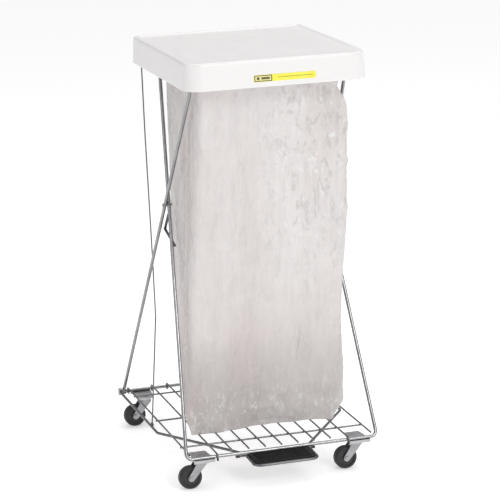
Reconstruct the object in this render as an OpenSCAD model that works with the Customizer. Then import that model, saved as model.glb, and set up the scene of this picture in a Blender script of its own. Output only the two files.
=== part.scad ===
// Linen trolley: a wire stand on four casters that holds a bag open under a pedal-operated lid.
// Millimetres. +X is the right side seen from the front, +Y is the back, +Z is up.
// The origin is on the floor under the middle of the stand's bounding box.

/* [Stand] */
// Height of the closed lid's top above the floor
overall_h = 915; // [905:1:925]
// Width of the base between the rod centres of the front corners
base_w = 426; // [422:1:430]
// Depth of the base between the front and back rail centres
base_d = 525; // [515:1:535]
// Height of the rail centres
rail_z = 71; // [70:0.5:72]
// Diameter of the leg and rail rod
rod_d = 7.5; // [7:0.1:7.5]
// Inner leg frame: half its width at the top bar
inner_top_half = 149; // [146:1:150]
// Outer leg frame: half its width at the top bar
outer_top_half = 164.5; // [164:0.5:167]
// Outer leg frame: half its width at the feet
outer_foot_half = 214; // [213:0.5:214.5]

/* [Lid] */
// Width of the lid at its top edge
lid_w = 385; // [375:1:390]
// Depth of the lid at its top edge
lid_d = 431.6; // [425:0.1:435]
// Height of the skirt
skirt_h = 58; // [54:1:62]
// How far the skirt flares out on each side
lid_draft = 3.8; // [2:0.1:5]
// Wall thickness of the moulding
lid_wall = 3; // [2.5:0.1:3]

/* [Shelf] */
// Diameter of the shelf wires
shelf_wire_d = 4; // [3:0.5:4]
// Spacing of the long wires
shelf_pitch = 36.6; // [34:0.1:37]
// Half the distance between the two side wires
shelf_side_half = 203; // [198:1:203]

/* [Pedal] */
// Diameter of the lever rod
lever_d = 6; // [5:0.5:6]
// Width of the pedal tray
pedal_w = 134; // [120:1:134]
// Depth of the pedal tray
pedal_d = 70; // [60:1:72]
// Diameter of the lift wire
lift_wire_d = 3; // [2:0.5:3]

/* [Casters] */
// Wheel diameter
wheel_d = 50; // [48:1:50]
// Tread width
wheel_w = 20; // [18:1:20]
// Distance from the swivel axis to the axle
trail = 26.5; // [24:0.5:26.5]
// Half the distance between the left and right swivel axes
king_half = 174; // [170:1:174]

/* [Bag] */
// Thickness of the bag wall
bag_wall = 2.5; // [2:0.5:4]

/* [Hidden] */

$fn = 48;

// Places of the main axes. The lid overhangs the front, so the base stands behind the origin.
mid_y = 18.1;
front_y = mid_y - base_d / 2;
back_y = mid_y + base_d / 2;
base_half = base_w / 2;
rod_r = rod_d / 2;
top_bar_z = overall_h - 9;
inner_top_y = mid_y + 80;
outer_top_y = mid_y - 248.6;
// The front bar sits lower, so that it stays under the lid while the stand folds.
outer_top_z = overall_h - 35;
leg_rise = top_bar_z - rail_z;
outer_rise = outer_top_z - rail_z;
inner_run = inner_top_y - front_y;
outer_run = back_y - outer_top_y;
// The legs cross where both stand at the same depth.
cross_rise = base_d / (inner_run / leg_rise + outer_run / outer_rise);
cross_y = front_y + inner_run * cross_rise / leg_rise;
cross_z = rail_z + cross_rise;
cross_inner_x = base_half + (inner_top_half - base_half) * cross_rise / leg_rise;
cross_outer_x = outer_foot_half + (outer_top_half - outer_foot_half) * cross_rise / outer_rise;
inner_bend_r = 12;
outer_bend_r = 20;
gap = 0.3;
// A bend is this much thicker than its rod, and the straight parts reach this far into it.
bend_swell = 0.04;
bend_overlap = 0.3;

// Shelf: its wires loop round the back rail and lie on the front rail.
loop_r = rod_r + gap + shelf_wire_d / 2;
shelf_z = rail_z + loop_r;
shelf_front_y = front_y + 7;
cross_wire_z = shelf_z - shelf_wire_d;

// Pedal lever: it falls gently from the back rail to the pedal in front.
lever_fall = 2.3;
lever_x = 222.5;
stud_reach = 237;
sleeve_len = 6;
sleeve_r = 4.9;
eye_r = 8;
cross_rod_reach = 473;

// Lid and its hinge on the inner frame's top bar.
lid_top_y = mid_y + 128.6;
lid_inner_z = overall_h - lid_wall;
front_corner_r = 34;
back_corner_r = 12;
hinge_sleeve_r = 4.6;
strap_r = lid_inner_z - top_bar_z;
strap_x = 95;
strap_len = 22;
lug_arm = 21;
lug_y = inner_top_y + lug_arm;
lug_z = top_bar_z - 3;
lift_top_x = -182.5;

// Casters.
wheel_r = wheel_d / 2;
plate_t = 2.5;
plate_top_z = rail_z - rod_r;
plate_z = plate_top_z - plate_t;
front_king_y = front_y + 22;
rear_king_y = back_y - 42;
king_r = 4;

function unit(v) = v / norm(v);

// A straight rod between two points.
module rod(a, b, d) {
    v = b - a;
    tilt = acos(v[2] / norm(v));
    turn = atan2(v[1], v[0]);
    translate(a) rotate([0, tilt, turn]) cylinder(d = d, h = norm(v));
}

// One round bend of a rod in the XY plane at corner b.
module bend(a, b, c, r, d) {
    u = unit(a - b);
    w = unit(c - b);
    half = acos(u * w) / 2;
    reach = r / tan(half);
    middle = b + unit(u + w) * r / sin(half);
    p = b + u * reach - middle;
    q = b + w * reach - middle;
    first = p[0] * q[1] - p[1] * q[0] > 0 ? p : q;
    translate([middle[0], middle[1], 0])
        rotate([0, 0, atan2(first[1], first[0])])
            rotate_extrude(angle = 180 - 2 * half)
                translate([r, 0]) circle(d = d + bend_swell);
}

// How far a corner's bend reaches along the rod.
function bend_reach(a, b, c, r) = r / tan(acos(unit(a - b) * unit(c - b)) / 2);

// A rod bent along points in the XY plane, open at both ends.
module bent_rod(pts, r, d) {
    last = len(pts) - 1;
    for (i = [0 : last - 1]) {
        a = pts[i];
        b = pts[i + 1];
        dir = unit(b - a);
        from = i == 0 ? a : a + dir * (bend_reach(pts[i - 1], a, b, r) - bend_overlap);
        to = i == last - 1 ? b : b - dir * (bend_reach(a, b, pts[i + 2], r) - bend_overlap);
        rod([from[0], from[1], 0], [to[0], to[1], 0], d);
    }
    for (i = [1 : last - 1]) bend(pts[i - 1], pts[i], pts[i + 1], r, d);
}

// A rod bent into a closed loop in the XY plane.
module closed_rod(pts, r, d) {
    n = len(pts);
    for (i = [0 : n - 1]) {
        z = pts[(i + n - 1) % n];
        a = pts[i];
        b = pts[(i + 1) % n];
        c = pts[(i + 2) % n];
        dir = unit(b - a);
        from = a + dir * (bend_reach(z, a, b, r) - bend_overlap);
        to = b - dir * (bend_reach(a, b, c, r) - bend_overlap);
        rod([from[0], from[1], 0], [to[0], to[1], 0], d);
        bend(z, a, b, r, d);
    }
}

// Lays XY work in a leaning plane: X stays, Y climbs from (0, y0, z0) towards (0, y1, z1).
module leaning(y0, z0, y1, z1) {
    translate([0, y0, z0]) rotate([atan2(z1 - z0, y1 - y0), 0, 0]) children();
}

module both_sides() {
    children();
    mirror([1, 0, 0]) children();
}

// A sleeve or ring along X.
module ring_x(x, y, z, outer, inner, len) {
    translate([x - len / 2, y, z]) rotate([0, 90, 0])
        difference() {
            cylinder(r = outer, h = len);
            translate([0, 0, -1]) cylinder(r = inner, h = len + 2);
        }
}

module bar_x(x0, x1, y, z, r) {
    translate([x0, y, z]) rotate([0, 90, 0]) cylinder(r = r, h = x1 - x0);
}

// ---- Inner leg frame: top bar at the back, front rail at the bottom ----
pin_r = 2;
leg_len_inner = sqrt(inner_run * inner_run + leg_rise * leg_rise);
leg_len_outer = sqrt(outer_run * outer_run + outer_rise * outer_rise);

module inner_leg_frame() {
    color("silver") difference() {
        leaning(front_y, rail_z, inner_top_y, top_bar_z)
            closed_rod([[-base_half, 0], [-inner_top_half, leg_len_inner],
                        [inner_top_half, leg_len_inner], [base_half, 0]], inner_bend_r, rod_d);
        both_sides() bar_x(cross_inner_x - 8, cross_inner_x + 8, cross_y, cross_z, pin_r);
    }
}

// ---- Outer leg frame: top bar at the front, feet looped on the back rail ----
module outer_leg_frame() {
    foot_len = 10;
    color("silver") difference() {
        union() {
            leaning(back_y, rail_z, outer_top_y, outer_top_z)
                bent_rod([[-outer_foot_half, 0], [-outer_top_half, leg_len_outer],
                          [outer_top_half, leg_len_outer], [outer_foot_half, 0]], outer_bend_r, rod_d);
            both_sides() bar_x(outer_foot_half - foot_len / 2, outer_foot_half + foot_len / 2,
                               back_y, rail_z, rod_r + 3);
        }
        both_sides() bar_x(cross_outer_x - 8, cross_outer_x + 8, cross_y, cross_z, pin_r + 0.06);
        both_sides() bar_x(outer_foot_half - 10, outer_foot_half + 10, back_y, rail_z, rod_r);
    }
}

module leg_pivot_pins() {
    head = 1.6;
    outer_face = cross_outer_x + rod_r + 0.3;
    color("dimgray") both_sides() {
        bar_x(cross_inner_x - rod_r - 1.5, outer_face, cross_y, cross_z, pin_r);
        bar_x(outer_face, outer_face + head, cross_y, cross_z, 4);
        bar_x(cross_inner_x - rod_r - 1.5 - head, cross_inner_x - rod_r - 1.5, cross_y, cross_z, 4);
    }
}

module leg_pivot_washers() {
    space = cross_outer_x - cross_inner_x - rod_d;
    washer_t = space - 0.55;
    color("gray") both_sides()
        ring_x(cross_inner_x + rod_r + washer_t / 2 - 0.1, cross_y, cross_z, 4.2, pin_r, washer_t);
}

// Bent strap under the crossing that the outer leg stops against.
module leg_stop_clips() {
    strap = 3;
    strap_w = 5;
    x = cross_inner_x - 0.5;
    top_pt = [x, cross_y + 8, cross_z - 22];
    elbow = [x, cross_y + 42, cross_z - 62];
    low_pt = [x, cross_y - 34, cross_z - 83];
    color("dimgray") both_sides() {
        for (leg = [[top_pt, elbow], [elbow, low_pt]])
            hull() {
                translate(leg[0]) rotate([0, 90, 0])
                    cylinder(d = strap, h = strap_w, center = true, $fn = 24);
                translate(leg[1]) rotate([0, 90, 0])
                    cylinder(d = strap, h = strap_w, center = true, $fn = 24);
            }
    }
}

// ---- Back rail ----
module back_rail() {
    color("silver") bar_x(-lever_x - sleeve_len / 2, lever_x + sleeve_len / 2, back_y, rail_z, rod_r);
}

// ---- Caster plates: a tapered plate under the rail with a turned-down lip ----
module caster_plate(side, rail_y, inward, king_y) {
    wide = 46;
    narrow = 34;
    reach = 62;
    lip = 4;
    color("gainsboro") difference() {
        translate([side * king_half, rail_y - inward * 5, plate_z]) {
            linear_extrude(plate_t)
                polygon([[-wide / 2, 0], [wide / 2, 0], [wide / 2, inward * 12],
                         [narrow / 2, inward * reach], [-narrow / 2, inward * reach],
                         [-wide / 2, inward * 12]]);
            translate([-wide / 2, inward > 0 ? 0 : -2, -lip]) cube([wide, 2, lip + plate_t]);
        }
        translate([side * king_half, king_y, plate_z - 1]) cylinder(r = king_r, h = plate_t + 2);
    }
}
module front_caster_plate_left() caster_plate(-1, front_y, 1, front_king_y);
module front_caster_plate_right() caster_plate(1, front_y, 1, front_king_y);
module rear_caster_plate_left() caster_plate(-1, back_y, -1, rear_king_y);
module rear_caster_plate_right() caster_plate(1, back_y, -1, rear_king_y);

// ---- Kingpins: fixed race, rivet and lower head ----
race_z = plate_z - 3.4;
crown_z = race_z - 4.4;
module kingpin(side, king_y) {
    color("darkgray") translate([side * king_half, king_y, 0]) {
        translate([0, 0, race_z]) difference() {
            cylinder(r = 15, h = plate_z - race_z);
            translate([0, 0, -1]) cylinder(r = king_r, h = 10);
        }
        translate([0, 0, crown_z - 0.4]) cylinder(r = king_r, h = plate_top_z + 0.6 - crown_z + 0.4);
        translate([0, 0, plate_top_z]) cylinder(r = 6.5, h = 1.2);
        translate([0, 0, crown_z - 2.4]) cylinder(r = 7, h = 2);
    }
}
module front_kingpin_left() kingpin(-1, front_king_y);
module front_kingpin_right() kingpin(1, front_king_y);
module rear_kingpin_left() kingpin(-1, rear_king_y);
module rear_kingpin_right() kingpin(1, rear_king_y);

// ---- Casters: stamped fork, axle, hub and tyre; the wheel trails to the left ----
fork_in = wheel_w / 2 + 1.6;
fork_t = 1.8;
axle_r = 3;
module caster_fork(side, king_y) {
    color("lightgray") translate([side * king_half, king_y, 0]) difference() {
        union() {
            translate([0, 0, crown_z]) cylinder(r = 14, h = 4);
            translate([-12, -fork_in - fork_t, crown_z]) cube([22, 2 * (fork_in + fork_t), 2.4]);
            for (s = [-1, 1])
                hull() {
                    translate([-12, s * (fork_in + fork_t / 2) - fork_t / 2, crown_z]) cube([22, fork_t, 2.4]);
                    translate([-trail, s * (fork_in + fork_t / 2), wheel_r]) rotate([90, 0, 0])
                        cylinder(r = 7, h = fork_t, center = true, $fn = 32);
                }
        }
        translate([0, 0, crown_z - 1]) cylinder(r = king_r + 0.08, h = 10);
        translate([-trail, 0, wheel_r]) rotate([90, 0, 0])
            cylinder(r = axle_r, h = 4 * fork_in, center = true);
    }
}
module caster_axle(side, king_y) {
    color("gray") translate([side * king_half - trail, king_y, wheel_r]) rotate([90, 0, 0]) {
        cylinder(r = axle_r, h = 2 * (fork_in + fork_t) + 4, center = true);
        for (s = [-1, 1])
            translate([0, 0, s * (fork_in + fork_t + 1.2)]) cylinder(r = 5, h = 2.4, center = true);
    }
}
module wheel_hub(side, king_y) {
    color("black") translate([side * king_half - trail, king_y, wheel_r]) rotate([90, 0, 0])
        difference() {
            union() {
                cylinder(r = wheel_r - 7, h = wheel_w - 4, center = true);
                cylinder(r = 7, h = wheel_w + 2.4, center = true);
            }
            cylinder(r = axle_r + 0.06, h = wheel_w + 10, center = true);
        }
}
module tyre(side, king_y) {
    edge = 4;
    color("black") translate([side * king_half - trail, king_y, wheel_r]) rotate([90, 0, 0])
        rotate_extrude()
            polygon([[wheel_r - 7, -wheel_w / 2], [wheel_r - edge, -wheel_w / 2],
                     [wheel_r - 1, -wheel_w / 2 + 2], [wheel_r, -wheel_w / 2 + edge + 1],
                     [wheel_r, wheel_w / 2 - edge - 1], [wheel_r - 1, wheel_w / 2 - 2],
                     [wheel_r - edge, wheel_w / 2], [wheel_r - 7, wheel_w / 2]]);
}
module caster_fork_front_left() caster_fork(-1, front_king_y);
module caster_fork_front_right() caster_fork(1, front_king_y);
module caster_fork_rear_left() caster_fork(-1, rear_king_y);
module caster_fork_rear_right() caster_fork(1, rear_king_y);
module caster_axle_front_left() caster_axle(-1, front_king_y);
module caster_axle_front_right() caster_axle(1, front_king_y);
module caster_axle_rear_left() caster_axle(-1, rear_king_y);
module caster_axle_rear_right() caster_axle(1, rear_king_y);
module wheel_hub_front_left() wheel_hub(-1, front_king_y);
module wheel_hub_front_right() wheel_hub(1, front_king_y);
module wheel_hub_rear_left() wheel_hub(-1, rear_king_y);
module wheel_hub_rear_right() wheel_hub(1, rear_king_y);
module tyre_front_left() tyre(-1, front_king_y);
module tyre_front_right() tyre(1, front_king_y);
module tyre_rear_left() tyre(-1, rear_king_y);
module tyre_rear_right() tyre(1, rear_king_y);

// ---- Shelf ----
// A loop over the back rail and under it, open at the front where the wire's end stops.
loop_turn = 270;
module rail_loop(x) {
    translate([x, back_y, rail_z]) rotate([0, 90, 0]) rotate([0, 0, 180]) mirror([0, 1, 0])
        rotate_extrude(angle = loop_turn) translate([loop_r, 0]) circle(d = shelf_wire_d + bend_swell);
}
module shelf_wire(x, front_end) {
    rod([x, back_y + bend_overlap, shelf_z], [x, front_end, shelf_z], shelf_wire_d);
    rail_loop(x);
}
module shelf_long_wires() {
    color("dimgray") for (i = [-3 : 3]) shelf_wire(i * shelf_pitch, shelf_front_y);
}
module shelf_side_wires() {
    color("dimgray") for (s = [-1, 1]) shelf_wire(s * shelf_side_half, shelf_front_y + 3);
}
// The two hook wires pass over the front rail and turn down in front of it.
hook_turn = 100;
module shelf_hook_wires() {
    color("dimgray") for (s = [-1, 1]) {
        x = s * 4 * shelf_pitch;
        shelf_wire(x, front_y - bend_overlap);
        translate([x, front_y, rail_z]) rotate([0, 90, 0]) rotate([0, 0, 180])
            rotate_extrude(angle = hook_turn) translate([loop_r, 0]) circle(d = shelf_wire_d + bend_swell);
    }
}
module shelf_hook_tips() {
    tip_len = 7;
    color("black") for (s = [-1, 1])
        translate([s * 4 * shelf_pitch, front_y - loop_r * sin(hook_turn), rail_z + loop_r * cos(hook_turn)])
            rotate([180 - (hook_turn - 90), 0, 0]) cylinder(d = shelf_wire_d + 0.4, h = tip_len);
}
module shelf_cross_wires() {
    color("dimgray") for (y = [-185, 12, 205])
        bar_x(-shelf_side_half - 2, shelf_side_half + 2, mid_y + y, cross_wire_z, shelf_wire_d / 2);
}

// ---- Pedal lever ----
module lever_plane() {
    translate([0, back_y, rail_z]) rotate([0, 0, 180]) rotate([-lever_fall, 0, 0]) children();
}
module lever_sleeves() {
    color("white") both_sides() ring_x(lever_x, back_y, rail_z, sleeve_r, rod_r + 0.05, sleeve_len);
}
module lever_eyes() {
    color("silver") both_sides() ring_x(lever_x, back_y, rail_z, eye_r, sleeve_r + 0.05, sleeve_len);
}
loop_half = pedal_w / 2 + 4;
loop_reach = 556;
module pedal_lever() {
    color("gray") lever_plane()
        bent_rod([[-lever_x, eye_r - 0.2], [-213, 292], [-loop_half, 478], [-loop_half, loop_reach],
                  [loop_half, loop_reach], [loop_half, 478], [213, 292], [lever_x, eye_r - 0.2]],
                 16, lever_d);
}
stud_x = 209.6;
module lift_wire_stud() {
    color("gray") lever_plane()
        translate([0, stud_reach, 0])
            bar_x(stud_x - 3, stud_x + 6, 0, 0, 2);
}
module pedal_cross_rod() {
    color("gray") lever_plane()
        translate([0, cross_rod_reach, -lever_d - 0.1]) bar_x(-86, 86, 0, 0, lever_d / 2);
}
module pedal_rod_caps() {
    color("black") lever_plane()
        translate([0, cross_rod_reach, -lever_d - 0.1])
            both_sides() difference() {
                bar_x(81, 89, 0, 0, 3.6);
                bar_x(80, 86, 0, 0, lever_d / 2);
            }
}

// The plate lies inside the lever's loop, square at the back and round at the front.
module tray_outline(inset) {
    front_r = 14;
    back_r = 4;
    hull() {
        for (s = [-1, 1]) {
            translate([s * (tray_half - front_r), pedal_d - front_r])
                circle(r = front_r - inset, $fn = 32);
            translate([s * (tray_half - back_r), back_r])
                circle(r = back_r - inset, $fn = 32);
        }
    }
}
tray_half = loop_half - 1.5;
tray_reach = loop_reach - 2 - pedal_d;
tray_z = -3;
tray_t = 1.5;
module pedal_tray() {
    color("silver") lever_plane() translate([0, tray_reach, tray_z])
        linear_extrude(tray_t) tray_outline(0);
}
module pedal_pad() {
    pad_t = 5.5;
    ribs = 9;
    rib_w = 2.4;
    rib_h = 1.4;
    rib_pitch = (pedal_d - 18) / ribs;
    color("black") lever_plane() translate([0, tray_reach, tray_z + tray_t]) {
        linear_extrude(pad_t) tray_outline(2);
        for (i = [0 : ribs])
            translate([-tray_half + 12, 8 + i * rib_pitch - rib_w / 2, pad_t - 0.5])
                cube([2 * tray_half - 24, rib_w, rib_h + 0.5]);
    }
}

// ---- Lid ----
// A block with the lid's plan, corner radii and flare, between two heights below its top.
module lid_block(grow, top_drop, bottom_drop) {
    front = lid_top_y - lid_d;
    for_draft = lid_draft * bottom_drop / skirt_h;
    hull() {
        for (s = [-1, 1]) {
            for (end = [[front, 1, front_corner_r], [lid_top_y, -1, back_corner_r]]) {
                r = end[2];
                translate([s * (lid_w / 2 - r), end[0] + end[1] * r, overall_h - bottom_drop])
                    cylinder(r1 = r + grow + for_draft, r2 = r + grow, h = bottom_drop - top_drop, $fn = 64);
                if (top_drop > 0)
                    translate([s * (lid_w / 2 - r), end[0] + end[1] * r, overall_h - top_drop])
                        cylinder(r1 = r + grow, r2 = r + grow - 2.4, h = top_drop, $fn = 64);
            }
        }
    }
}
module lid_shell() {
    recess = 1.6;
    color("whitesmoke") difference() {
        lid_block(0, 3, skirt_h);
        translate([0, 0, -lid_wall]) lid_block(-lid_wall, 3, skirt_h + 1);
        // Shallow tray in the top, inside a rim on three sides
        translate([-lid_w / 2 + 11, lid_top_y - lid_d + 16, overall_h - recess])
            cube([lid_w - 22, lid_d - 27, 5]);
    }
}
module lid_label() {
    label_w = 133;
    label_h = 14;
    label_stand = 3.45;
    skirt_lean = atan(lid_draft / skirt_h);
    color("yellow") translate([12, lid_top_y - lid_d, 0])
        translate([-label_w / 2, -label_stand, 868]) rotate([-skirt_lean, 0, 0])
            cube([label_w, 0.5, label_h]);
}
module lid_hinge_sleeves() {
    color("white") both_sides()
        ring_x(strap_x, inner_top_y, top_bar_z, hinge_sleeve_r, rod_r + 0.05, strap_len);
}
module lid_hinge_straps() {
    tab = 34;
    tab_t = 1.5;
    color("lightgray") both_sides() {
        difference() {
            union() {
                ring_x(strap_x, inner_top_y, top_bar_z, strap_r, hinge_sleeve_r + 0.05, strap_len - 2);
                translate([strap_x - strap_len / 2 + 1, inner_top_y - tab, lid_inner_z - tab_t])
                    cube([strap_len - 2, tab, tab_t]);
            }
            bar_x(strap_x - strap_len, strap_x + strap_len, inner_top_y, top_bar_z, hinge_sleeve_r + 0.05);
            for (step = [14, 26])
                translate([strap_x, inner_top_y - step, lid_inner_z - 5]) cylinder(r = 1.5, h = 10);
        }
    }
}
module lid_strap_screws() {
    color("gray") both_sides() for (step = [14, 26])
        translate([strap_x, inner_top_y - step, 0]) {
            translate([0, 0, lid_inner_z - 1.5]) cylinder(r = 1.5, h = 1.5);
            translate([0, 0, lid_inner_z - 3.1]) cylinder(r = 3, h = 1.6);
        }
}
module lid_lift_lug() {
    color("lightgray") {
        hull() {
            translate([lift_top_x - 5.2, lug_y - 9, lid_inner_z - 1.5]) cube([2, 18, 1.5]);
            translate([lift_top_x - 5.2, lug_y, lug_z]) rotate([0, 90, 0]) cylinder(r = 4.5, h = 2, $fn = 32);
        }
        bar_x(lift_top_x - 4, lift_top_x + 3.4, lug_y, lug_z, 2);
    }
}

// ---- Lift wire: from the lid's lug, inside the outer leg, down to the lever's stud ----
module lift_wire() {
    stud_y = back_y - stud_reach * cos(lever_fall);
    stud_z = rail_z - stud_reach * sin(lever_fall);
    low_x = -stud_x;
    eye_mid = 2.4 + lift_wire_d / 2;
    low_eye_mid = 3.8 + lift_wire_d / 2;
    route = [[lift_top_x, lug_y, lug_z - eye_mid], [-184.5, mid_y + 84, 700], [-184.5, mid_y + 62, 430],
             [-186, mid_y + 50, 300], [low_x, stud_y, stud_z + low_eye_mid]];
    knee = lift_wire_d + 0.3;
    // The straight parts stop just short of each other inside the knees and rings.
    stop = 0.4;
    color("silver") {
        for (i = [0 : len(route) - 2]) {
            dir = unit(route[i + 1] - route[i]);
            rod(route[i] + dir * stop, route[i + 1] - dir * stop, lift_wire_d);
        }
        for (i = [1 : len(route) - 2]) translate(route[i]) sphere(d = knee);
        for (end = [[lift_top_x, lug_y, lug_z, eye_mid], [low_x, stud_y, stud_z, low_eye_mid]])
            translate([end[0], end[1], end[2]]) rotate([0, 90, 0])
                rotate_extrude() translate([end[3], 0]) circle(d = knee);
    }
}

// ---- Bag: an open-topped wedge that hangs between the top bars and rests on the shelf ----
module bag_block(inset, low, high) {
    hull() {
        translate([0, 0, high - 1]) linear_extrude(1)
            polygon([[-142 + inset, mid_y + 74 - inset], [142 - inset, mid_y + 74 - inset],
                     [157 - inset, mid_y - 242 + inset], [-157 + inset, mid_y - 242 + inset]]);
        translate([0, 0, low]) linear_extrude(1)
            polygon([[-165 + inset, mid_y - 20 - inset], [165 - inset, mid_y - 20 - inset],
                     [168 - inset, mid_y - 105 + inset], [-168 + inset, mid_y - 105 + inset]]);
    }
}
module liner_bag() {
    color("gainsboro", 0.6) difference() {
        bag_block(0, shelf_z + shelf_wire_d / 2 + 0.5, 898);
        bag_block(bag_wall, shelf_z + shelf_wire_d / 2 + 0.5 + bag_wall, 900);
    }
}

inner_leg_frame();
front_caster_plate_left();
front_caster_plate_right();
front_kingpin_left();
front_kingpin_right();
leg_pivot_pins();
leg_pivot_washers();
leg_stop_clips();
liner_bag();
outer_leg_frame();
back_rail();
rear_caster_plate_left();
rear_caster_plate_right();
rear_kingpin_left();
rear_kingpin_right();
shelf_long_wires();
shelf_side_wires();
shelf_hook_wires();
shelf_cross_wires();
shelf_hook_tips();
lever_sleeves();
pedal_lever();
lever_eyes();
pedal_tray();
pedal_pad();
pedal_cross_rod();
pedal_rod_caps();
lift_wire_stud();
lid_hinge_sleeves();
lid_shell();
lid_label();
lid_hinge_straps();
lid_strap_screws();
lid_lift_lug();
lift_wire();
caster_fork_front_left();
caster_fork_front_right();
caster_fork_rear_left();
caster_fork_rear_right();
caster_axle_front_left();
caster_axle_front_right();
caster_axle_rear_left();
caster_axle_rear_right();
wheel_hub_front_left();
wheel_hub_front_right();
wheel_hub_rear_left();
wheel_hub_rear_right();
tyre_front_left();
tyre_front_right();
tyre_rear_left();
tyre_rear_right();
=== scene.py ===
"""Linen trolley: finishes, moulded lid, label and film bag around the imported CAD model.

Metres, +Z up, +Y to the back.
"""
import math

import bmesh
import bpy
from mathutils import Matrix, Vector, noise


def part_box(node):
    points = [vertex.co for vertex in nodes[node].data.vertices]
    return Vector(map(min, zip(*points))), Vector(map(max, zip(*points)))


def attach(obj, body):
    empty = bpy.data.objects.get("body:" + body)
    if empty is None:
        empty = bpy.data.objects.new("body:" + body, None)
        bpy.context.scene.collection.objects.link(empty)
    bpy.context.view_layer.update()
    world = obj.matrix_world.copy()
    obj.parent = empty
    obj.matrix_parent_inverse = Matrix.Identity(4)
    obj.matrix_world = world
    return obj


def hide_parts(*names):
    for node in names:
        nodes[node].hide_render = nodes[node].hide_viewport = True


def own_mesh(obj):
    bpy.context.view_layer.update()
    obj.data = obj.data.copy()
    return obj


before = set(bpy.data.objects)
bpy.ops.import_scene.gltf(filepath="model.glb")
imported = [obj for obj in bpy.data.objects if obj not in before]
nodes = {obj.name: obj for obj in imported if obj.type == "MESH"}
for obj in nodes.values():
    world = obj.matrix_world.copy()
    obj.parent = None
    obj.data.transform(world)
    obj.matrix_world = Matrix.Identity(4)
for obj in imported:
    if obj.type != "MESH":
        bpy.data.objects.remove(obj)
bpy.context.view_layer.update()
scene = bpy.context.scene

MM = 0.001
LENS, SENSOR = 165.96, 36  # millimetres
CAMERA_PLACE = (-1.4246, -4.6806, 1.6502)
CAMERA_YAW, CAMERA_PITCH, CAMERA_ROLL = 17.1, -13.8, -1.7  # degrees
MIX_A, MIX_B, MIX_RESULT = 6, 7, 2  # colour sockets of a Mix node
ROD = 3.75 * MM  # half a leg rod's thickness


# ---------------------------------------------------------------- camera, floor and light
def add_camera():
    yaw, pitch, roll = map(math.radians, (CAMERA_YAW, CAMERA_PITCH, CAMERA_ROLL))
    ahead = Vector((math.sin(yaw) * math.cos(pitch), math.cos(yaw) * math.cos(pitch), math.sin(pitch)))
    level = Vector((math.cos(yaw), -math.sin(yaw), 0))
    lift = level.cross(ahead)
    right = level * math.cos(roll) + lift * math.sin(roll)
    up = lift * math.cos(roll) - level * math.sin(roll)
    data = bpy.data.cameras.new("camera")
    data.sensor_width = SENSOR
    data.lens = LENS
    data.clip_end = 100
    camera = bpy.data.objects.new("camera", data)
    turn = Matrix((right, up, -ahead)).transposed().to_4x4()
    camera.matrix_world = Matrix.Translation(CAMERA_PLACE) @ turn
    scene.collection.objects.link(camera)
    scene.camera = camera


def add_light(name, place, target, size, power):
    """A square soft light of the given side in metres and power in watts, aimed at target."""
    data = bpy.data.lights.new(name, "AREA")
    data.shape = "RECTANGLE"
    data.size = data.size_y = size
    data.energy = power
    lamp = bpy.data.objects.new(name, data)
    lamp.location = place
    lamp.rotation_euler = (Vector(target) - Vector(place)).to_track_quat("-Z", "Y").to_euler()
    scene.collection.objects.link(lamp)


def add_floor():
    bpy.ops.mesh.primitive_plane_add(size=60, location=(0, 0, 0))
    floor = bpy.context.object
    floor.name = "floor"
    material = bpy.data.materials.new("floor")
    material.use_nodes = True
    shader = material.node_tree.nodes["Principled BSDF"]
    shader.inputs["Base Color"].default_value = (0.93, 0.93, 0.93, 1)
    shader.inputs["Roughness"].default_value = 0.9
    shader.inputs["Emission Color"].default_value = (1, 1, 1, 1)
    shader.inputs["Emission Strength"].default_value = 0.36
    floor.data.materials.append(material)


def add_sky():
    """A white studio that fades to grey at the horizon, which gives the chrome something to mirror."""
    world = bpy.data.worlds.new("studio")
    world.use_nodes = True
    tree = world.node_tree
    sky = tree.nodes["Background"]
    sky.inputs["Strength"].default_value = 0.66
    where = tree.nodes.new("ShaderNodeTexCoord")
    split = tree.nodes.new("ShaderNodeSeparateXYZ")
    ramp = tree.nodes.new("ShaderNodeValToRGB")
    tree.links.new(where.outputs["Generated"], split.inputs[0])
    tree.links.new(split.outputs["Z"], ramp.inputs["Fac"])
    tree.links.new(ramp.outputs["Color"], sky.inputs["Color"])
    horizon, overhead = ramp.color_ramp.elements
    horizon.position, horizon.color = 0.0, (0.5, 0.5, 0.51, 1)
    overhead.position, overhead.color = 0.6, (1, 1, 1, 1)
    scene.world = world


def add_stage():
    add_floor()
    add_sky()
    add_light("key", (0.9, -3.6, 2.3), (0, 0, 0.55), 1.5, 47)
    add_light("side", (-3.2, -1.4, 1.9), (0, 0, 0.5), 1.4, 11)
    add_light("top", (0.6, 0.6, 3.4), (0, 0, 0.4), 2.4, 38)
    scene.view_settings.view_transform = "Standard"


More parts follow.
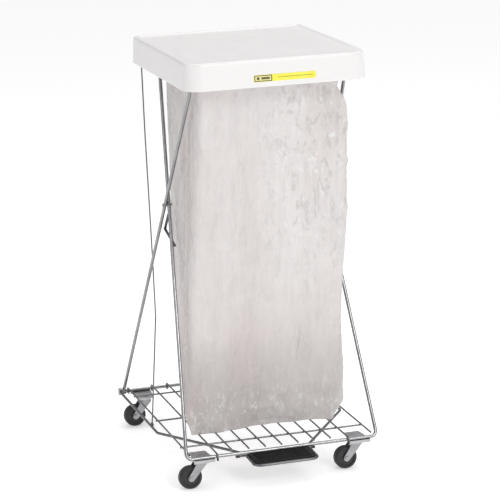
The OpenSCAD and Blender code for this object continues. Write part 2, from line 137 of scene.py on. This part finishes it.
# ---------------------------------------------------------------- materials
class Finish:
    """A node material with short calls for the usual procedural parts."""

    def __init__(self, name, color, roughness=0.4, metallic=0.0, **sockets):
        self.material = bpy.data.materials.new(name)
        self.material.use_nodes = True
        self.tree = self.material.node_tree
        self.shader = self.tree.nodes["Principled BSDF"]
        self.put("Base Color", (*color, 1))
        self.put("Roughness", roughness)
        self.put("Metallic", metallic)
        for socket, value in sockets.items():
            self.put(socket.replace("_", " "), value)
        self.where = self.add("ShaderNodeTexCoord").outputs["Object"]

    def put(self, socket, value):
        self.shader.inputs[socket].default_value = value

    def add(self, kind, **values):
        node = self.tree.nodes.new(kind)
        for name, value in values.items():
            if name in node.inputs:
                node.inputs[name].default_value = value
            else:
                setattr(node, name, value)
        return node

    def link(self, out, into):
        self.tree.links.new(out, into)

    def stretched(self, scale):
        mapping = self.add("ShaderNodeMapping")
        mapping.inputs["Scale"].default_value = scale
        self.link(self.where, mapping.inputs["Vector"])
        return mapping.outputs["Vector"]

    def noise(self, scale, detail=3.0, stretch=None, distortion=0.0):
        made = self.add("ShaderNodeTexNoise", Scale=scale, Detail=detail, Distortion=distortion)
        self.link(self.stretched(stretch) if stretch else self.where, made.inputs["Vector"])
        return made.outputs["Fac"]

    def ramp(self, value, stops):
        made = self.add("ShaderNodeValToRGB")
        items = made.color_ramp.elements
        while len(items) < len(stops):
            items.new(0.5)
        for item, (position, color) in zip(items, stops):
            item.position = position
            item.color = (*color, 1) if len(color) == 3 else color
        self.link(value, made.inputs["Fac"])
        return made.outputs["Color"]

    def grey(self, value, low, high, start=0.3, end=0.7):
        return self.ramp(value, [(start, (low, low, low)), (end, (high, high, high))])

    def math(self, operation, first, second):
        made = self.add("ShaderNodeMath", operation=operation)
        self.feed(made.inputs[0], first)
        self.feed(made.inputs[1], second)
        return made.outputs[0]

    def mix(self, below, color, mask, kind="MIX"):
        made = self.add("ShaderNodeMix", data_type="RGBA", blend_type=kind)
        self.feed(made.inputs["Factor"], mask)
        self.feed(made.inputs[MIX_A], below)
        self.feed(made.inputs[MIX_B], color)
        return made.outputs[MIX_RESULT]

    def feed(self, socket, value):
        """Puts a number, a colour or another node's output into a socket."""
        if isinstance(value, float):
            socket.default_value = value
        elif isinstance(value, tuple):
            socket.default_value = (*value, 1)
        else:
            self.link(value, socket)

    def step(self, value, low, high):
        """0 up to low and 1 from high, with a soft change between. It falls when low is the larger."""
        made = self.add("ShaderNodeMapRange", interpolation_type="SMOOTHSTEP")
        made.inputs["From Min"].default_value = low
        made.inputs["From Max"].default_value = high
        self.link(value, made.inputs["Value"])
        return made.outputs["Result"]

    def axes(self):
        split = self.add("ShaderNodeSeparateXYZ")
        self.link(self.where, split.inputs[0])
        return split.outputs

    def bump(self, height, strength, distance, under=None):
        made = self.add("ShaderNodeBump", Strength=strength, Distance=distance)
        self.link(height, made.inputs["Height"])
        if under is not None:
            self.link(under, made.inputs["Normal"])
        self.link(made.outputs["Normal"], self.shader.inputs["Normal"])
        return made.outputs["Normal"]


def metal(name, color, roughness, wear=0.06, grain=900):
    f = Finish(name, color, roughness, 1.0)
    dull = tuple(c * 0.82 for c in color)
    f.link(f.ramp(f.noise(35, 4.0), [(0.35, dull), (0.6, color)]), f.shader.inputs["Base Color"])
    f.link(f.grey(f.noise(90, 5.0), roughness, roughness + wear), f.shader.inputs["Roughness"])
    f.bump(f.noise(grain, 2.0), 0.12, 0.0002)
    return f.material


def plastic(name, color, roughness, grain, depth, tint=0.9):
    """tint is how much darker the darkest patches are. depth is the grain's depth in metres."""
    f = Finish(name, color, roughness)
    low = tuple(c * tint for c in color)
    f.link(f.ramp(f.noise(14, 4.0), [(0.3, low), (0.62, color)]), f.shader.inputs["Base Color"])
    f.link(f.grey(f.noise(60, 4.0), roughness - 0.05, roughness + 0.08), f.shader.inputs["Roughness"])
    f.bump(f.noise(grain, 3.0), 0.25, depth)
    return f.material


def label_material():
    """A yellow strip whose left end holds a framed olive block. Its coordinates start at its middle."""
    f = Finish("label_film", (0.85, 0.78, 0.08), 0.35)
    axes = f.axes()

    def between(value, low, high):
        return f.math("MULTIPLY", f.math("GREATER_THAN", value, low), f.math("LESS_THAN", value, high))

    def inside(x0, x1, z0, z1):
        return f.math("MULTIPLY", between(axes["X"], x0 * MM, x1 * MM),
                      between(axes["Z"], z0 * MM, z1 * MM))

    olive, cream, band = (0.09, 0.08, 0.02), (0.74, 0.68, 0.3), (0.42, 0.38, 0.05)
    painted = f.ramp(f.noise(40, 3.0), [(0.3, (0.78, 0.72, 0.06)), (0.7, (0.9, 0.84, 0.1))])
    # Frame, its field, two blocks in it, and the line along the rest of the strip, in millimetres.
    for color, box in ((olive, (-65.5, -27.5, -6.4, 6.4)), (cream, (-63.6, -29.4, -4.7, 4.7)),
                       (olive, (-60.0, -54.5, -2.8, 2.8)), (olive, (-50.5, -32.5, -2.2, 2.2)),
                       (band, (-15.0, 60.0, -0.4, 1.2))):
        painted = f.mix(painted, color, inside(*box))
    f.link(painted, f.shader.inputs["Base Color"])
    f.bump(f.noise(700, 2.0), 0.08, 0.0002)
    return f.material


def film_colour(f, height, across):
    """The film's colour with painted shade low down, painted highlights along some creases and painted
    shade along others, and the masks of these two sets of creases.
    """
    tint = f.ramp(f.noise(7, 4.0, (1, 1, 0.3)),
                  [(0.3, (0.84, 0.79, 0.775)), (0.5, (0.9, 0.865, 0.855)), (0.72, (0.95, 0.93, 0.92))])
    # Painted shade: the film is darker low down and lightens to white towards the top.
    painted_shade = f.ramp(f.step(height, 0.07, 0.5),
                   [(0.0, (0.93, 0.92, 0.91)), (0.1, (0.84, 0.82, 0.81)), (0.3, (0.86, 0.84, 0.83)),
                    (0.6, (0.96, 0.94, 0.935)), (1.0, (1, 1, 1))])
    color = f.mix(tint, painted_shade, 1.0, "MULTIPLY")
    streak = f.grey(f.noise(75, 4.0, (1, 1, 0.06), 0.5), 0.86, 1.0, 0.35, 0.6)
    color = f.mix(color, streak, 0.3, "MULTIPLY")
    # The painted highlights and painted shade on the creases gather at the upper right and round the
    # floor.
    upper = f.math("MULTIPLY", f.step(height, 0.38, 0.62), f.step(across, -0.06, 0.08))
    lower = f.step(height, 0.21, 0.12)
    gathered = f.math("ADD", f.math("MAXIMUM", upper, lower), 0.22)
    # Painted highlights: near-white glints laid along some crease lines.
    painted_glint_creases = creases(f, 44.0, 0.6, 70)
    share = f.math("MULTIPLY", gathered, 0.85)
    color = f.mix(color, (0.99, 0.985, 0.98), f.math("MULTIPLY", painted_glint_creases, share))
    # Painted shade: darker lines laid along other crease lines.
    dark = creases(f, 31.0, 0.25, 50)
    share = f.math("MULTIPLY", gathered, 0.5)
    color = f.mix(color, (0.66, 0.64, 0.63), f.math("MULTIPLY", dark, share))
    return color, painted_glint_creases, dark


def creases(f, scale, slant, break_scale):
    """Short thin lines where a slanted, drawn-out noise crosses its middle value."""
    mapping = f.add("ShaderNodeMapping")
    mapping.inputs["Scale"].default_value = (1, 1, 0.35)
    mapping.inputs["Rotation"].default_value = (0, slant, 0)
    f.link(f.where, mapping.inputs["Vector"])
    made = f.add("ShaderNodeTexNoise", Scale=scale, Detail=5.0, Roughness=0.6, Distortion=0.5)
    f.link(mapping.outputs["Vector"], made.inputs["Vector"])
    off = f.math("ABSOLUTE", f.math("SUBTRACT", made.outputs["Fac"], 0.5), 0.0)
    broken = f.step(f.noise(break_scale, 3.0, (1, 1, 0.6), 0.8), 0.44, 0.6)
    return f.math("MULTIPLY", f.step(off, 0.05, 0.0), broken)


def film_material():
    """Thin polythene: soft cloudy colour with painted shade low down, glossy crinkles with painted
    highlights and painted shade along them, and a little light through it.
    """
    f = Finish("film", (0.86, 0.84, 0.83), 0.26, IOR=1.5)
    axes = f.axes()
    color, painted_glint_creases, dark = film_colour(f, axes["Z"], axes["X"])
    f.link(color, f.shader.inputs["Base Color"])
    f.link(f.grey(f.noise(30, 5.0), 0.12, 0.34), f.shader.inputs["Roughness"])
    normal = f.bump(f.noise(60, 4.0, (1, 1, 0.08), 0.6), 0.6, 0.005)
    normal = f.bump(f.noise(20, 6.0, (1, 1, 0.4), 1.4), 0.6, 0.012, normal)
    normal = f.bump(painted_glint_creases, 0.35, 0.002, normal)
    normal = f.bump(dark, 0.3, -0.002, normal)
    f.bump(f.noise(130, 5.0, (1, 1, 0.7), 0.8), 0.4, 0.002, normal)
    through = f.add("ShaderNodeBsdfTranslucent")
    f.link(color, through.inputs["Color"])
    clear = f.add("ShaderNodeBsdfTransparent")
    surface = f.shader.outputs["BSDF"]
    for layer, share in ((through, 0.32), (clear, 0.12)):
        mixed = f.add("ShaderNodeMixShader", Fac=share)
        f.link(surface, mixed.inputs[1])
        f.link(layer.outputs[0], mixed.inputs[2])
        surface = mixed.outputs[0]
    f.link(surface, f.tree.nodes["Material Output"].inputs["Surface"])
    return f.material


def paint(names, material):
    for name in names:
        mesh = nodes[name].data
        if not mesh.materials:
            mesh.materials.append(material)
        for index in range(len(mesh.materials)):
            mesh.materials[index] = material


def finish_nodes():
    chrome = metal("chrome_rod", (0.33, 0.33, 0.34), 0.14)
    wire = metal("bright_wire", (0.2, 0.2, 0.21), 0.18)
    lever = metal("lever_steel", (0.2, 0.2, 0.21), 0.26, 0.1)
    zinc = metal("zinc_plate", (0.5, 0.5, 0.51), 0.3, 0.14, 600)
    fork = metal("caster_fork", (0.36, 0.36, 0.37), 0.16, 0.08, 600)
    dark = metal("dark_clip", (0.16, 0.16, 0.17), 0.4, 0.1)
    black = plastic("black_plastic", (0.025, 0.025, 0.026), 0.42, 600, 0.0002, 0.7)
    rubber = plastic("pad_rubber", (0.012, 0.012, 0.012), 0.62, 350, 0.0004, 0.6)
    tread = plastic("tyre_rubber", (0.02, 0.02, 0.021), 0.5, 500, 0.0003, 0.6)
    nylon = plastic("nylon", (0.78, 0.78, 0.75), 0.45, 300, 0.0003)
    paint(["inner_leg_frame", "outer_leg_frame", "back_rail"], chrome)
    paint(["shelf_long_wires", "shelf_side_wires", "shelf_hook_wires", "shelf_cross_wires",
           "lift_wire"], wire)
    paint(["pedal_lever", "lever_eyes", "pedal_cross_rod", "lift_wire_stud"], lever)
    paint(["lid_hinge_straps", "lid_strap_screws", "lid_lift_lug", "leg_pivot_pins", "leg_pivot_washers",
           "pedal_tray"], zinc)
    paint(["leg_stop_clips"], dark)
    paint(["shelf_hook_tips", "pedal_rod_caps"], black)
    paint(["pedal_pad"], rubber)
    paint(["lever_sleeves", "lid_hinge_sleeves"], nylon)
    for end in ("front", "rear"):
        for side in ("left", "right"):
            place = f"{end}_{side}"
            paint([f"{end}_caster_plate_{side}", f"{end}_kingpin_{side}"], zinc)
            paint([f"caster_fork_{place}", f"caster_axle_{place}"], fork)
            paint([f"wheel_hub_{place}"], black)
            paint([f"tyre_{place}"], tread)


# ---------------------------------------------------------------- mesh helpers
def outline(half, front, back, front_r, back_r, steps=14, straight=24):
    """Points round a rectangle with rounded corners, anticlockwise from the front left corner."""
    corners = [(-half + front_r, front + front_r, front_r, 180),
               (half - front_r, front + front_r, front_r, 270),
               (half - back_r, back - back_r, back_r, 0),
               (-half + back_r, back - back_r, back_r, 90)]
    arcs = []
    for x, y, r, first in corners:
        arcs.append([(x + r * math.cos(math.radians(first + 90 * i / steps)),
                      y + r * math.sin(math.radians(first + 90 * i / steps))) for i in range(steps + 1)])
    points = []
    for index, arc in enumerate(arcs):
        points += arc
        a, b = arc[-1], arcs[(index + 1) % 4][0]
        points += [(a[0] + (b[0] - a[0]) * i / straight, a[1] + (b[1] - a[1]) * i / straight)
                   for i in range(1, straight)]
    return points


def loft(name, rings, close_ends):
    """A mesh through rings of equally many points. close_ends says whether to cap the first and last."""
    count = len(rings[0])
    verts = [p for ring in rings for p in ring]
    faces = []
    for r in range(len(rings) - 1):
        a, b = r * count, (r + 1) * count
        faces += [(a + i, a + (i + 1) % count, b + (i + 1) % count, b + i) for i in range(count)]
    if close_ends[0]:
        faces.append(tuple(reversed(range(count))))
    if close_ends[1]:
        faces.append(tuple(range((len(rings) - 1) * count, len(rings) * count)))
    mesh = bpy.data.meshes.new(name)
    mesh.from_pydata(verts, [], faces)
    mesh.validate()
    made = bpy.data.objects.new(name, mesh)
    scene.collection.objects.link(made)
    for polygon in mesh.polygons:
        polygon.use_smooth = True
    return made


def smooth(t):
    t = min(1.0, max(0.0, t))
    return t * t * (3 - 2 * t)


# ---------------------------------------------------------------- lid
def make_lid():
    """The outer skin with its rolled rim and sunk panel, and the underside inside it."""
    low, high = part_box("lid_shell")
    draft = 3.8 * MM
    top_z, bottom_z = high[2], low[2]
    half, front, back = high[0] - draft, low[1] + draft, high[1] - draft
    skirt = top_z - bottom_z
    front_r, back_r, least_r = 34 * MM, 12 * MM, 2 * MM
    rim_fade = 90 * MM  # the rim sinks into the panel over this length at the front

    def ring(inset, z, sink=0.0):
        flare = draft * (top_z - z) / skirt
        grow = flare - inset
        points = outline(half + grow, front - grow, back + grow,
                         max(front_r + grow, least_r), max(back_r + grow, least_r))
        return [(x, y, z - sink * (1 - smooth((y - front) / rim_fade))) for x, y in points]

    # The bottom edge turns in a little, and the skirt rises plainly to the top edge.
    rings = [ring(3.0 * MM, bottom_z + 1 * MM), ring(2.2 * MM, bottom_z), ring(0.6 * MM, bottom_z),
             ring(0, bottom_z + 0.8 * MM), ring(0, bottom_z + 3 * MM)]
    rings += [ring(0, bottom_z + (skirt - 8 * MM) * t) for t in (0.2, 0.4, 0.6, 0.8, 1.0)]
    edge = 5.5 * MM
    for angle in (15, 30, 45, 60, 75, 90):
        a = math.radians(angle)
        rings.append(ring(edge * (1 - math.cos(a)), top_z - edge + edge * math.sin(a),
                          1.9 * MM * angle / 90))
    # The rim's flat top and its fall to the panel: how far in, how far down and how much still fades.
    drop, fade = 2.3 * MM, 2.2 * MM
    for inset, down, share in ((8, 0, 1), (10.5, 0.15, 1), (11.5, 0.5, 0.85), (12.2, 1.4, 0.4),
                               (13, 2.0, 0.12)):
        rings.append(ring(inset * MM, top_z - down * MM, fade * share))
    rings.append(ring(14.5 * MM, top_z - drop))
    # The panel is very slightly crowned.
    for t in (0.15, 0.35, 0.6, 0.85):
        inset = 14.5 * MM + (half - 16 * MM) * t
        rings.append(ring(min(inset, half - 3 * MM), top_z - drop + 0.8 * MM * smooth(t)))
    rings[-1] = [(x * 0.9, y, z) for x, y, z in rings[-1]]
    lid = loft("lid_moulding", rings, (False, True))
    inner = [ring(3.0 * MM, bottom_z + 1 * MM), ring(3.0 * MM, bottom_z + 20 * MM),
             ring(3.0 * MM, top_z - 8 * MM), ring(4.0 * MM, top_z - 5 * MM),
             ring(7 * MM, top_z - 3.6 * MM)]
    under = loft("lid_underside", inner, (False, True))
    under.data.flip_normals()
    return lid, under


def make_label():
    """A thin strip with rounded corners that leans with the lid's front skirt."""
    low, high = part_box("lid_label")
    size = (0.133, 0.0007, 0.014)
    mesh = bpy.data.meshes.new("label_strip")
    bm = bmesh.new()
    bmesh.ops.create_cube(bm, size=1)
    bmesh.ops.scale(bm, vec=size, verts=bm.verts)
    corners = [e for e in bm.edges if abs(e.verts[0].co.y - e.verts[1].co.y) > size[1] / 2]
    bmesh.ops.bevel(bm, geom=corners, offset=1.8 * MM, segments=4, affect="EDGES")
    bm.to_mesh(mesh)
    bm.free()
    strip = bpy.data.objects.new("label_strip", mesh)
    strip.location = (Vector(low) + Vector(high)) / 2
    strip.rotation_euler = (math.radians(-3.75), 0, 0)
    scene.collection.objects.link(strip)
    return strip


# ---------------------------------------------------------------- bag
def along(table, z):
    """Straight-line reading of a table of (height, value) pairs."""
    if z <= table[0][0]:
        return table[0][1]
    for (z0, v0), (z1, v1) in zip(table, table[1:]):
        if z <= z1:
            return v0 + (v1 - v0) * (z - z0) / (z1 - z0)
    return table[-1][1]


def leg_line(box, foot, top_x, z):
    """(x, y) of a right leg's middle at height z, from its foot (x, y, z) to the top of its box."""
    top_y = box[0][1] + ROD if foot[1] > 0 else box[1][1] - ROD
    t = (z - foot[2]) / (box[1][2] - ROD - foot[2])
    return foot[0] + (top_x - foot[0]) * t, foot[1] + (top_y - foot[1]) * t


def crumple(x, y, z):
    """How far the film stands out, mostly inwards so that it stays off the legs."""
    long_fold = noise.noise(Vector((x * 15, y * 15, z * 1.3 + 3)))
    fine_fold = noise.noise(Vector((x * 40, y * 40, z * 2.6 + 11)))
    crease = 1 - abs(noise.noise(Vector((x * 22 + 4 + z * 6, y * 22, z * 15)))) * 3
    crinkle = 1 - abs(noise.noise(Vector((x * 55, y * 55 + 7, z * 42)))) * 3
    pleat = noise.noise(Vector((x * 34 + z * 2, y * 34 + 5, z * 0.8)))
    low_zone = math.exp(-((z - 0.13) / 0.07) ** 2)
    high_zone = smooth((z - 0.42) / 0.25) * smooth((x + 0.05) / 0.15)
    shift = (5.2 * long_fold + 2.6 * fine_fold + 2.2 * pleat) * MM
    shift += (0.5 + 2.6 * low_zone + 2.6 * high_zone) * MM * max(0.0, crease)
    shift += (0.15 + 0.9 * low_zone + 1.0 * high_zone) * MM * max(0.0, crinkle)
    return shift - (2.6 + 2.0 * low_zone + 2.0 * high_zone) * MM


# Half widths of the film by height: at its right and left front edges, beside the right legs, and at
# its back. The film bulges past the right legs wherever it lies in front of them.
RIGHT_EDGE = [(0.08, 0.171), (0.13, 0.182), (0.18, 0.182), (0.32, 0.174), (0.42, 0.176), (0.57, 0.183),
              (0.76, 0.184), (0.85, 0.186), (0.90, 0.180)]
LEFT_EDGE = [(0.08, 0.178), (0.17, 0.178), (0.40, 0.172), (0.57, 0.165), (0.80, 0.158), (0.90, 0.155)]
INSIDE_LEGS = [(0.08, 0.170), (0.3, 0.172), (0.57, 0.165), (0.90, 0.158)]
INSIDE_CROSSING = [(0.08, 1.0), (0.40, 1.0), (0.45, 0.174), (0.57, 0.165), (0.90, 0.157)]
BACK_EDGE = [(0.08, 0.150), (0.17, 0.158), (0.50, 0.158), (0.90, 0.143)]


def make_bag():
    low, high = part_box("liner_bag")
    outer_box, inner_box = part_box("outer_leg_frame"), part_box("inner_leg_frame")
    outer_foot, outer_top_x = (0.214, 0.2806, 0.071), 0.1645
    inner_foot, inner_top_x = (0.213, -0.2444, 0.071), 0.149
    bar_front = outer_box[0][1]
    cross_z = 575 * MM
    floor_z = low[2]
    mouth_front_z, mouth_rise = 0.8868, 0.0145
    around, up = 46, 240

    def front_line(z, u):
        """y of the front film, which leans forward and then hangs close in front of the top bar."""
        t = min(1.0, (z - floor_z) / (0.86 - floor_z))
        start = (-132 - 3 * u) * MM
        end = bar_front + 7 * MM
        y = start + (end - start) * t
        return y + (bar_front - 2.4 * MM - y) * smooth((z - 0.83) / 0.04)

    def back_line(z):
        t = (z - floor_z) / (high[2] - floor_z)
        return (2 * MM) + (high[1] - 5 * MM) * t

    def right_width(z, y):
        """Half widths at the back and at y of the film's right side."""
        inside = min(along(INSIDE_LEGS, z), along(INSIDE_CROSSING, z))
        leg = (leg_line(outer_box, outer_foot, outer_top_x, z) if z > cross_z
               else leg_line(inner_box, inner_foot, inner_top_x, z))
        free = smooth((leg[1] - 14 * MM - y) / (26 * MM))
        free = max(free, smooth((0.44 - z) / 0.06))
        return along(BACK_EDGE, z), inside + (along(RIGHT_EDGE, z) - inside) * free

    def ring(q, inset=0.0, drop=0.0):
        """Points round the film at the share q of its height, moved in by inset and down by drop."""
        points = []
        for u, v in outline(1, 0, 1, 0.12, 0.12, 9, around):
            z = floor_z + (mouth_front_z + mouth_rise * v - floor_z) * q
            y0, y1 = front_line(z, u), back_line(z)
            y = y0 + (y1 - y0) * v
            if u > 0:
                back_w, front_w = right_width(z, y)
            else:
                back_w, front_w = along(BACK_EDGE, z), along(LEFT_EDGE, z)
            x = u * (front_w + (back_w - front_w) * smooth(v))
            edge_x, edge_y = u ** 7, (2 * v - 1) ** 7
            length = math.hypot(edge_x, edge_y) or 1.0
            # The floor's edge is rounded and rises in soft tucks.
            near = math.exp(-((z - floor_z) / 0.022) ** 2)
            tuck = 7 * MM * near * (0.6 + noise.noise(Vector((x * 24, y * 24, 1.5))))
            calm = 1 - 0.9 * smooth((z - 0.82) / 0.05)
            push = crumple(x, y, z) * calm - 9 * MM * near - inset * (1.0 if v < 0.06 else 0.35)
            points.append((x + edge_x / length * push, y + edge_y / length * push, z + tuck - drop))
        return points

    rings = [ring(row / up) for row in range(up + 1)]
    first = rings[0]
    middle = (sum(p[0] for p in first) / len(first), sum(p[1] for p in first) / len(first))
    rest_z = floor_z + 1.0 * MM
    floor = [[(middle[0] + (p[0] - middle[0]) * share, middle[1] + (p[1] - middle[1]) * share,
               rest_z + (p[2] - rest_z) * share ** 6) for p in first]
             for share in (0.2, 0.45, 0.65, 0.8, 0.9, 0.96)]
    # The mouth turns over the front bar and hangs a little way inside it.
    lip = [ring(1.0, inset * MM, drop * MM)
           for inset, drop in ((3, -1.2), (8.5, -1.2), (12.5, 1), (13.5, 8), (14, 20), (14.5, 34))]
    bag = loft("film_bag", floor + rings + lip, (True, False))
    thick = bag.modifiers.new("film", "SOLIDIFY")
    thick.thickness = 0.5 * MM
    thick.offset = -1
    return bag


# ---------------------------------------------------------------- build
add_camera()
add_stage()
finish_nodes()

lid, under = make_lid()
white = plastic("lid_plastic", (0.79, 0.775, 0.77), 0.34, 200, 0.00003, 0.985)
for piece in (lid, under):
    piece.data.materials.append(white)
    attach(piece, "lid")
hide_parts("lid_shell")
label = make_label()
label.data.materials.append(label_material())
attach(label, "lid")
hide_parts("lid_label")

bag = make_bag()
bag.data.materials.append(film_material())
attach(bag, "front_stand")
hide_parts("liner_bag")
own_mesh(bag)
